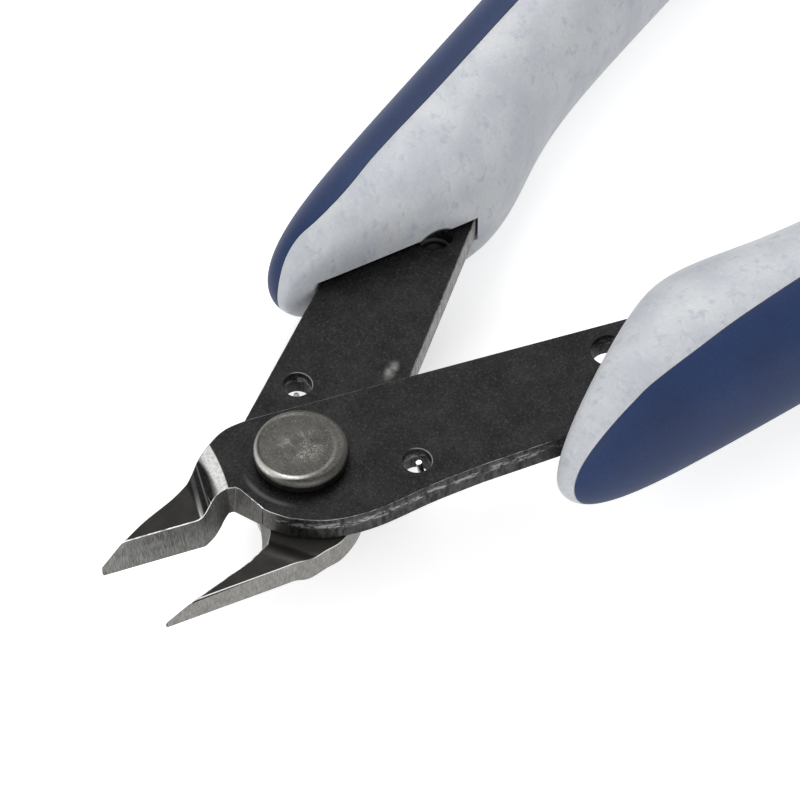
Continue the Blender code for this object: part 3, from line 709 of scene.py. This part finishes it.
class Shader:
    """A material's node tree, built up a node at a time."""

    def __init__(self, name):
        self.material = bpy.data.materials.new(name)
        self.material.use_nodes = True
        self.tree = self.material.node_tree
        self.out = self.tree.nodes["Principled BSDF"]
        self.place = self.new("ShaderNodeTexCoord").outputs["Object"]
        self.normal = self.tree.nodes[-1].outputs["Normal"]

    def new(self, kind, **settings):
        node = self.tree.nodes.new(kind)
        for name, value in settings.items():
            setattr(node, name, value)
        return node

    def feed(self, socket, value):
        if isinstance(value, bpy.types.NodeSocket):
            self.tree.links.new(value, socket)
        else:
            socket.default_value = value

    def math(self, operation, *values, clamp=False):
        node = self.new("ShaderNodeMath", operation=operation, use_clamp=clamp)
        for socket, value in zip(node.inputs, values):
            self.feed(socket, value)
        return node.outputs[0]

    def length(self, vector):
        node = self.new("ShaderNodeVectorMath", operation="LENGTH")
        self.feed(node.inputs[0], vector)
        return node.outputs["Value"]

    def dot(self, vector, axis):
        node = self.new("ShaderNodeVectorMath", operation="DOT_PRODUCT")
        self.feed(node.inputs[0], vector)
        self.feed(node.inputs[1], axis)
        return node.outputs["Value"]

    def from_point(self, origin):
        node = self.new("ShaderNodeVectorMath", operation="SUBTRACT")
        self.feed(node.inputs[0], self.place)
        self.feed(node.inputs[1], origin)
        return node.outputs[0]

    def vector(self, x, y, z):
        node = self.new("ShaderNodeCombineXYZ")
        for socket, value in zip(node.inputs, (x, y, z)):
            self.feed(socket, value)
        return node.outputs[0]

    def noise(self, vector, scale, detail=2.0, rough=0.5, distort=0.0):
        node = self.new("ShaderNodeTexNoise")
        self.feed(node.inputs["Vector"], vector)
        self.feed(node.inputs["Scale"], scale)
        self.feed(node.inputs["Detail"], detail)
        self.feed(node.inputs["Roughness"], rough)
        self.feed(node.inputs["Distortion"], distort)
        return node.outputs["Fac"]

    def ramp(self, value, low, high, start=0.0, end=1.0, smooth=True):
        node = self.new("ShaderNodeMapRange")
        node.interpolation_type = "SMOOTHSTEP" if smooth else "LINEAR"
        for socket, given in zip(node.inputs, (value, low, high, start, end)):
            self.feed(socket, given)
        return node.outputs[0]

    def mix(self, factor, first, second):
        node = self.new("ShaderNodeMix", data_type="RGBA")
        self.feed(node.inputs[0], factor)
        for socket, value in ((node.inputs[6], first), (node.inputs[7], second)):
            self.feed(socket, value if isinstance(value, bpy.types.NodeSocket)
                      else (*value, 1.0))
        return node.outputs[2]

    def blend(self, factor, first, second):
        node = self.new("ShaderNodeMix", data_type="FLOAT")
        self.feed(node.inputs[0], factor)
        self.feed(node.inputs[2], first)
        self.feed(node.inputs[3], second)
        return node.outputs[0]

    def bump(self, height, strength, distance):
        node = self.new("ShaderNodeBump")
        self.feed(node.inputs["Height"], height)
        self.feed(node.inputs["Strength"], strength)
        self.feed(node.inputs["Distance"], distance)
        self.feed(self.out.inputs["Normal"], node.outputs[0])

    def finish(self, **inputs):
        for name, value in inputs.items():
            socket = self.out.inputs[name.replace("_", " ")]
            if isinstance(value, tuple):
                value = (*value, 1.0)
            self.feed(socket, value)
        return self.material


def blade_steel(half):
    """Black oxide plate with worn sheared edges and bright ground jaws, with painted highlights and painted
    light over the shade under the front plate.
    """
    s = Shader("black_oxide_" + half)
    turn = math.pi / 2 - SIDE[half] * OPEN_HALF_ANGLE
    along = (math.cos(turn), math.sin(turn), 0.0)
    across = (math.sin(turn) * SIDE[half], -math.cos(turn) * SIDE[half], 0.0)
    place = s.from_point(tuple(PIVOT))
    u = s.dot(place, along)
    v = s.dot(place, across)
    z = s.dot(place, (0.0, 0.0, 1.0))
    level = s.math("ABSOLUTE", s.dot(s.normal, (0.0, 0.0, 1.0)))
    wall = s.ramp(level, 0.64, 0.42)
    grain = s.noise(place, 5600.0, 2.0, 0.6)
    cloud = s.noise(place, 330.0, 4.0, 0.62)

    dark = s.mix(s.ramp(cloud, 0.3, 0.7), (0.010, 0.010, 0.010), (0.016, 0.016, 0.016))
    rubbed = s.ramp(u, -8.6 * MM, -9.8 * MM)
    dark = s.mix(s.ramp(grain, 0.52, 0.72, 0.0, s.ramp(rubbed, 0.0, 1.0, 0.45, 0.15)), dark,
                 (0.050, 0.050, 0.050))
    dark = s.mix(s.ramp(grain, 0.48, 0.3, 0.0, s.ramp(rubbed, 0.0, 1.0, 0.7, 0.3)), dark,
                 (0.004, 0.004, 0.004))
    dark = s.mix(s.math("MULTIPLY", rubbed, s.ramp(cloud, 0.35, 0.65, 0.35, 0.8)), dark,
                 (0.024, 0.022, 0.020))

    streak = s.noise(s.vector(u, v, s.math("MULTIPLY", z, 0.3)), 2600.0, 4.0, 0.65)
    worn = s.noise(s.vector(s.math("MULTIPLY", u, 0.4), s.math("MULTIPLY", v, 0.4), z), 2400.0, 5.0, 0.75)
    mid = s.math("SUBTRACT", z, PLATE_BOTTOM[half] + PLATE_T * 0.66)
    band = s.ramp(s.math("ABSOLUTE", mid), 0.5 * MM, 0.1 * MM)
    sheared = s.mix(s.ramp(streak, 0.3, 0.7), (0.014, 0.014, 0.014), (0.075, 0.075, 0.074))
    chips = s.math("MULTIPLY", s.ramp(worn, 0.49, 0.56), band)
    sheared = s.mix(s.math("MULTIPLY", chips, 0.8), sheared, (0.33, 0.33, 0.32))
    if half == "rear":
        inner = s.math("MULTIPLY", s.ramp(u, 5.0 * MM, 7.0 * MM), s.ramp(v, -2.0 * MM, -3.0 * MM))
        clean = s.mix(s.ramp(streak, 0.3, 0.7), (0.13, 0.13, 0.13), (0.30, 0.30, 0.29))
        sheared = s.mix(inner, sheared, clean)

    grind_place = s.vector(u, s.math("MULTIPLY", v, 0.1), s.math("MULTIPLY", z, 0.09))
    grind = s.noise(grind_place, 19000.0, 3.0, 0.6)
    grind = s.math("ADD", s.math("MULTIPLY", grind, 0.75),
                   s.math("MULTIPLY", s.noise(place, 1500.0, 3.0, 0.6), 0.25))
    # Ground faces: the rear's are painted lighter than the front's, as lit and shaded copies of one finish.
    bright = s.mix(s.ramp(grind, 0.3, 0.7), *GROUND_LIT_AND_SHADED[half])
    jaw = s.ramp(u, -7.6 * MM, -8.6 * MM)
    throat = s.math("MULTIPLY", s.ramp(u, -3.9 * MM, -4.4 * MM), s.ramp(v, -1.2 * MM, -0.6 * MM))
    dull = s.mix(s.ramp(grind, 0.25, 0.75), (0.055, 0.053, 0.05), (0.16, 0.157, 0.15))
    side = s.mix(throat, sheared, dull)
    ground = jaw
    if half == "rear":
        heel = s.math("MULTIPLY", s.ramp(u, 2.0 * MM, -2.5 * MM), s.ramp(v, -3.0 * MM, -4.0 * MM))
        notch = s.math("MULTIPLY", s.ramp(u, -10.6 * MM, -9.9 * MM), s.ramp(v, -1.6 * MM, -1.0 * MM))
        jaw = s.math("MULTIPLY", jaw, s.math("SUBTRACT", 1.0, notch))
        ground = s.math("MAXIMUM", jaw, heel)
    side = s.mix(ground, side, bright)

    colour = dark
    bend_highlight = 0.0
    if half == "front":
        # Painted highlight: the front's joggle bend is painted bright where its convex slope reflects the
        # light, broken into streaks by noise, and two thin painted highlight lines run along the bend.
        highlight_streaks = s.noise(place, 5200.0, 3.0, 0.6)
        low_side = s.math("POWER", s.math("ABSOLUTE", s.math("ADD", v, 2.7 * MM)), 2.0)
        right = s.math("ADD", u, s.math("MULTIPLY", low_side, 25.0))
        high_side = s.math("POWER", s.math("ABSOLUTE", s.math("ADD", v, 0.85 * MM)), 2.0)
        left = s.math("ADD", u, s.math("MULTIPLY", high_side, 75.0))
        fade = s.ramp(v, -3.3 * MM, 0.0, -7.72 * MM, -8.1 * MM, smooth=False)
        bend_highlight = s.math("MULTIPLY", s.ramp(right, -6.45 * MM, -6.58 * MM),
                      s.ramp(left, fade, -7.5 * MM))
        bend_highlight = s.math("MULTIPLY", bend_highlight, s.ramp(highlight_streaks, 0.3, 0.6, 0.7, 1.0))
        thin = s.math("ABSOLUTE", s.math("ADD", s.math("ADD", u, s.math("MULTIPLY", v, 0.129)),
                                         8.64 * MM))
        thin = s.math("MULTIPLY", s.ramp(thin, 0.09 * MM, 0.03 * MM), 0.3)
        crease = s.math("ABSOLUTE", s.math("ADD", s.math("ADD", u, s.math("MULTIPLY", v, 0.165)),
                                           9.26 * MM))
        crease = s.math("MULTIPLY", s.ramp(crease, 0.26 * MM, 0.05 * MM),
                        s.ramp(v, -1.2 * MM, 1.3 * MM, 0.16, 0.9))
        bend_highlight = s.math("MAXIMUM", bend_highlight, s.math("MAXIMUM", thin, crease))
        colour = s.mix(bend_highlight, colour, BEND_HIGHLIGHT)
    else:
        # Painted light: the rear plate is lightened between its jaw and the pivot, under the front plate's
        # edge, to cancel the front plate's shadow and the dark of the rear slope.
        shadow_lift = s.math("MULTIPLY", s.ramp(u, -9.7 * MM, -8.4 * MM), s.ramp(u, -2.0 * MM, -3.5 * MM))
        colour = s.mix(s.math("MULTIPLY", shadow_lift, 0.9), colour, (0.085, 0.080, 0.074))
        # Painted highlight: a bright smudge on the rear arm near its inner edge, by the front plate's edge,
        # broken into patches by noise.
        rear_smudge_highlight = s.from_point(tuple(half_matrix(half) @ Vector((13.1 * MM, -2.5 * MM, 0.0))))
        rear_smudge_highlight = s.vector(s.dot(rear_smudge_highlight, along), s.math("MULTIPLY", s.dot(rear_smudge_highlight, across), 2.2), 0.0)
        rear_smudge_highlight = s.ramp(s.length(rear_smudge_highlight), 1.5 * MM, 0.2 * MM)
        highlight_patches = s.ramp(s.noise(place, 700.0, 3.0, 0.6), 0.3, 0.6)
        colour = s.mix(s.math("MULTIPLY", rear_smudge_highlight, s.math("MULTIPLY", highlight_patches, 0.35)), colour,
                       (0.30, 0.30, 0.29))
    # Painted highlight: the ring round the rivet is lightened only on its lower-left arc, where it catches
    # the light; the bump raises the same arc.
    radius = s.length(s.vector(u, v, 0.0))
    ring = s.ramp(s.math("ABSOLUTE", s.math("SUBTRACT", radius, 5.1 * MM)), 0.32 * MM, 0.05 * MM)
    ring = s.math("MULTIPLY", ring, s.ramp(s.dot(place, (0.7071, -0.7071, 0.0)), 1.6 * MM, 3.4 * MM))
    ring = s.math("MULTIPLY", ring, s.ramp(s.dot(place, (-0.7071, -0.7071, 0.0)), 0.2 * MM, 1.8 * MM))
    colour = s.mix(s.math("MULTIPLY", ring, 0.3), colour, (0.11, 0.11, 0.11))
    # Painted highlight: a thin light arc on the far rim of the spring hole.
    hole = s.from_point(tuple(half_matrix(half) @ Vector((SPRING_HOLE_U, -SIDE[half] * SPRING_HOLE_V, 0.0))))
    hole_x = s.dot(hole, (1.0, 0.0, 0.0))
    hole_y = s.dot(hole, (0.0, 1.0, 0.0))
    rim_highlight = s.math("SUBTRACT", s.length(s.vector(hole_x, hole_y, 0.0)), SPRING_HOLE_R + 0.05 * MM)
    rim_highlight = s.math("MULTIPLY", s.ramp(s.math("ABSOLUTE", rim_highlight), 0.12 * MM, 0.04 * MM),
                 s.ramp(hole_y, 0.2 * MM, 0.9 * MM))
    colour = s.mix(s.math("MULTIPLY", rim_highlight, 0.6), colour, (0.20, 0.20, 0.195))
    facing = s.ramp(s.math("ABSOLUTE", s.dot(s.normal, across)), 0.25, 0.4)
    rolled = s.math("MULTIPLY", s.math("MULTIPLY", facing, ground), s.ramp(level, 0.95, 0.85))
    colour = s.mix(s.math("MAXIMUM", wall, rolled), colour, side)
    # The upper rolled edges that face across the arm get a line that is partly bare metal and partly painted
    # highlight: duller and patchy with wear on the arm, bright on the jaw and throat; lower edges get none.
    tilt = s.dot(s.normal, (0.0, 0.0, 1.0))
    edge = s.math("MULTIPLY", s.ramp(tilt, 0.5, 0.65), s.ramp(tilt, 0.97, 0.9))
    edge = s.math("MULTIPLY", edge, facing)
    on_arm = s.ramp(u, -5.0 * MM, -3.0 * MM)
    arm_edge_wear_and_highlight = s.math("MULTIPLY", on_arm, s.ramp(worn, 0.4, 0.6, 0.15, 0.8))
    edge_metal_and_highlight = s.math("MULTIPLY", s.math("SUBTRACT", 1.0, on_arm), s.ramp(worn, 0.3, 0.5, 0.6, 1.0))
    colour = s.mix(s.math("MULTIPLY", edge, arm_edge_wear_and_highlight), colour, (0.24, 0.24, 0.235))
    colour = s.mix(s.math("MULTIPLY", edge, edge_metal_and_highlight), colour, (0.62, 0.62, 0.60))
    polish = s.math("MAXIMUM", s.math("MULTIPLY", wall, ground), bend_highlight)
    rough = s.blend(polish, s.ramp(grain, 0.3, 0.7, 0.46, 0.56), 0.42)
    s.bump(s.math("ADD", grain, s.math("MULTIPLY", ring, 2.0)), 0.2, 0.02 * MM)
    return s.finish(Base_Color=colour, Metallic=1.0, Roughness=rough)


def edge_steel():
    """The fine bright line where a ground or punched face breaks the black finish, partly bare metal and
    partly painted highlight.
    """
    s = Shader("edge_metal_and_highlight")
    place = s.from_point(tuple(PIVOT))
    worn = s.noise(place, 900.0, 4.0, 0.65)
    fine = s.noise(place, 6000.0, 2.0, 0.6)
    base = s.mix(s.ramp(worn, 0.35, 0.6), (0.22, 0.22, 0.215), (0.72, 0.72, 0.70))
    base = s.mix(s.ramp(fine, 0.5, 0.75, 0.0, 0.5), base, (0.30, 0.30, 0.29))
    # Painted highlight: towards +y the edges go dark, save those facing −y, which keep a lit arc on the far
    # rims.
    arc = s.mix(s.ramp(s.dot(s.normal, (0.0, -1.0, 0.0)), 0.2, 0.5), (0.016, 0.016, 0.016),
                (0.30, 0.30, 0.29))
    base = s.mix(s.ramp(s.dot(place, (0.0, 1.0, 0.0)), -1.0 * MM, 1.5 * MM), base, arc)
    # Painted light: edges that face down are given a duller shade than those that face up.
    level = s.dot(s.normal, (0.0, 0.0, 1.0))
    base = s.mix(s.ramp(level, 0.42, 0.6), (0.11, 0.108, 0.104), base)
    s.bump(fine, 0.1, 0.01 * MM)
    return s.finish(Base_Color=base, Metallic=1.0, Roughness=0.36)


def rivet_steel():
    s = Shader("tumbled_rivet")
    place = s.from_point(tuple(PIVOT))
    x = s.dot(place, (1.0, 0.0, 0.0))
    y = s.dot(place, (0.0, 1.0, 0.0))
    z = s.dot(place, (0.0, 0.0, 1.0))
    radius = s.length(s.vector(x, y, 0.0))
    cloud = s.noise(place, 420.0, 4.0, 0.6)
    grain = s.noise(place, 5200.0, 3.0, 0.65)
    base = s.mix(s.ramp(cloud, 0.3, 0.7), (0.026, 0.0255, 0.0235), (0.050, 0.0485, 0.044))
    scratch = s.noise(place, 1900.0, 6.0, 0.75, 1.5)
    lines = s.ramp(s.math("ABSOLUTE", s.math("SUBTRACT", scratch, 0.5)), 0.022, 0.0)
    patch = s.ramp(s.noise(place, 700.0, 3.0, 0.6), 0.42, 0.6)
    centre = s.math("MULTIPLY", s.ramp(radius, 2.5 * MM, 0.7 * MM), patch)
    base = s.mix(s.math("MULTIPLY", lines, centre), base, (0.40, 0.39, 0.35))
    side = s.ramp(z, 3.75 * MM, 3.4 * MM)
    # Painted highlight: a bright crescent on the head's rounded rim, strongest towards the lower left.
    lean = s.dot(place, (-0.7071, -0.7071, 0.0))
    down = s.dot(place, (0.7071, -0.7071, 0.0))
    crest = s.math("ADD", s.math("MULTIPLY", lean, 0.16), 3.26 * MM)
    rim_highlight = s.ramp(s.math("ABSOLUTE", s.math("SUBTRACT", radius, crest)), 0.27 * MM, 0.05 * MM)
    rim_highlight = s.math("MULTIPLY", rim_highlight, s.ramp(down, -2.4 * MM, 1.6 * MM, 0.1, 1.0))
    rim_highlight = s.math("MULTIPLY", rim_highlight, s.ramp(lean, -1.4 * MM, 2.0 * MM, 0.08, 1.0))
    turned_side = s.ramp(radius, 3.5 * MM, 3.75 * MM)
    base = s.mix(s.math("MULTIPLY", turned_side, 0.6), base, (0.085, 0.082, 0.075))
    base = s.mix(rim_highlight, base, (0.46, 0.455, 0.43))
    base = s.mix(s.math("MULTIPLY", side, s.math("SUBTRACT", 1.0, rim_highlight)), base, (0.07, 0.068, 0.064))
    base = s.mix(s.ramp(grain, 0.56, 0.76, 0.0, 0.35), base, (0.17, 0.17, 0.16))
    base = s.mix(s.ramp(grain, 0.44, 0.24, 0.0, 0.5), base, (0.012, 0.012, 0.011))
    s.bump(s.math("ADD", grain, lines), 0.22, 0.02 * MM)
    return s.finish(Base_Color=base, Metallic=1.0,
                    Roughness=s.ramp(cloud, 0.3, 0.7, 0.32, 0.44))


def spring_steel():
    s = Shader("drawn_wire")
    place = s.from_point(tuple(PIVOT))
    grain = s.noise(place, 2500.0, 3.0, 0.6)
    base = s.mix(s.ramp(grain, 0.3, 0.7), (0.38, 0.38, 0.375), (0.62, 0.62, 0.61))
    s.bump(grain, 0.15, 0.01 * MM)
    return s.finish(Base_Color=base, Metallic=1.0, Roughness=0.28)


def speckled_plastic():
    s = Shader("speckled_plastic")
    place = s.place
    cloud = s.noise(place, 240.0, 4.0, 0.62)
    speck = s.noise(place, 950.0, 5.0, 0.66)
    fine = s.noise(place, 3600.0, 3.0, 0.6)
    base = s.mix(s.ramp(cloud, 0.3, 0.7), (0.455, 0.478, 0.520), (0.565, 0.580, 0.600))
    base = s.mix(s.ramp(speck, 0.5, 0.7, 0.0, 0.7), base, (0.36, 0.39, 0.46))
    base = s.mix(s.ramp(fine, 0.52, 0.75, 0.0, 0.4), base, (0.40, 0.42, 0.46))
    base = s.mix(s.ramp(fine, 0.45, 0.25, 0.0, 0.22), base, (0.74, 0.75, 0.77))
    # Painted shade: the core is painted near black round each tang pin, where the recess under the pin lies
    # in shade.
    for half in ("front", "rear"):
        pin = half_matrix(half) @ Vector((TANG_HOLE_U, -SIDE[half] * TANG_HOLE_V, GRIP_Z[half]))
        recess_shade = s.ramp(s.length(s.from_point(tuple(pin))), 2.2 * MM, 1.95 * MM)
        base = s.mix(recess_shade, base, (0.02, 0.02, 0.02))
    s.bump(fine, 0.1, 0.015 * MM)
    return s.finish(Base_Color=base, Roughness=s.ramp(speck, 0.3, 0.7, 0.40, 0.5))


def navy_plastic():
    s = Shader("navy_soft_plastic")
    grain = s.noise(s.place, 6000.0, 3.0, 0.62)
    cloud = s.noise(s.place, 150.0, 3.0, 0.5)
    base = s.mix(s.ramp(cloud, 0.3, 0.7), (0.006, 0.020, 0.075), (0.008, 0.026, 0.092))
    base = s.mix(s.ramp(grain, 0.5, 0.8, 0.0, 0.4), base, (0.025, 0.055, 0.15))
    base = s.mix(s.ramp(grain, 0.5, 0.25, 0.0, 0.4), base, (0.002, 0.007, 0.030))
    s.bump(grain, 0.35, 0.03 * MM)
    return s.finish(Base_Color=base, Roughness=0.55, Specular_IOR_Level=0.3)


def floor_paper():
    """A pale floor that reads as white and keeps a soft shadow."""
    s = Shader("floor_paper")
    path = s.new("ShaderNodeLightPath")
    glow = s.math("MAXIMUM", path.outputs["Is Camera Ray"], path.outputs["Is Glossy Ray"])
    glow = s.math("MAXIMUM", glow, path.outputs["Is Transmission Ray"])
    tooth = s.noise(s.place, 60.0, 3.0, 0.6)
    base = s.mix(s.ramp(tooth, 0.3, 0.7), (0.84, 0.84, 0.84), (0.86, 0.86, 0.86))
    s.feed(s.out.inputs["Emission Color"], (1.0, 1.0, 1.0, 1.0))
    s.feed(s.out.inputs["Emission Strength"], s.math("MULTIPLY", glow, 0.55))
    return s.finish(Base_Color=base, Roughness=0.9)


def make_floor():
    bpy.ops.mesh.primitive_plane_add(size=3.0, location=(0.0, 0.0, 0.0))
    floor = bpy.context.object
    floor.name = "floor"
    floor.data.materials.append(floor_paper())


def make_world():
    world = bpy.data.worlds.new("studio")
    bpy.context.scene.world = world
    world.use_nodes = True
    tree = world.node_tree
    background = tree.nodes["Background"]
    path = tree.nodes.new("ShaderNodeLightPath")
    seen = tree.nodes.new("ShaderNodeMath")
    seen.operation = "MAXIMUM"
    tree.links.new(path.outputs["Is Camera Ray"], seen.inputs[0])
    tree.links.new(path.outputs["Is Transmission Ray"], seen.inputs[1])
    shiny = tree.nodes.new("ShaderNodeMath")
    shiny.operation = "MAXIMUM"
    tree.links.new(seen.outputs[0], shiny.inputs[0])
    tree.links.new(path.outputs["Is Glossy Ray"], shiny.inputs[1])
    strength = tree.nodes.new("ShaderNodeMix")
    strength.data_type = "FLOAT"
    tree.links.new(shiny.outputs[0], strength.inputs[0])
    strength.inputs[2].default_value = 0.45
    strength.inputs[3].default_value = 1.0
    tree.links.new(strength.outputs[0], background.inputs["Strength"])
    background.inputs["Color"].default_value = (1.0, 1.0, 1.0, 1.0)


def area_light(name, place, target, size, power):
    data = bpy.data.lights.new(name, "AREA")
    data.shape = "SQUARE"
    data.size = size
    data.energy = power
    lamp = link(bpy.data.objects.new(name, data))
    lamp.location = place
    lamp.rotation_mode = "QUATERNION"
    lamp.rotation_quaternion = (Vector(target) - Vector(place)).to_track_quat("-Z", "Y")


def make_lights():
    area_light("key", (-0.35, 0.35, 0.6), (0.0, -0.02, 0.0), 0.5, 3.2)
    area_light("fill", (0.5, -0.35, 0.35), (0.0, -0.04, 0.0), 0.4, 1.6)
    area_light("front", (-0.15, -0.6, 0.25), (0.0, -0.05, 0.0), 0.3, 1.0)


def make_camera():
    azimuth = math.radians(45.0)
    elevation = math.radians(52.5)
    back = Vector((math.sin(azimuth) * math.cos(elevation),
                   -math.cos(azimuth) * math.cos(elevation), math.sin(elevation)))
    data = bpy.data.cameras.new("camera")
    data.sensor_width = 36.0
    data.lens = 326.7
    data.clip_start = 0.05
    data.clip_end = 5.0
    camera = link(bpy.data.objects.new("camera", data))
    camera.location = PIVOT + Vector((261.4, -249.87, 481.38)) * MM
    camera.rotation_mode = "QUATERNION"
    camera.rotation_quaternion = (-back).to_track_quat("-Z", "Y")
    bpy.context.scene.camera = camera


def main():
    hard = speckled_plastic()
    soft = navy_plastic()
    bright = rivet_steel()
    edge = edge_steel()
    for half in ("front", "rear"):
        blade(half, blade_steel(half), edge)
        grip(half, hard, soft)
    rivet(bright)
    washer(bright)
    spring(spring_steel())
    make_floor()
    make_world()
    make_lights()
    make_camera()
    bpy.context.scene.view_settings.view_transform = "Standard"


main()
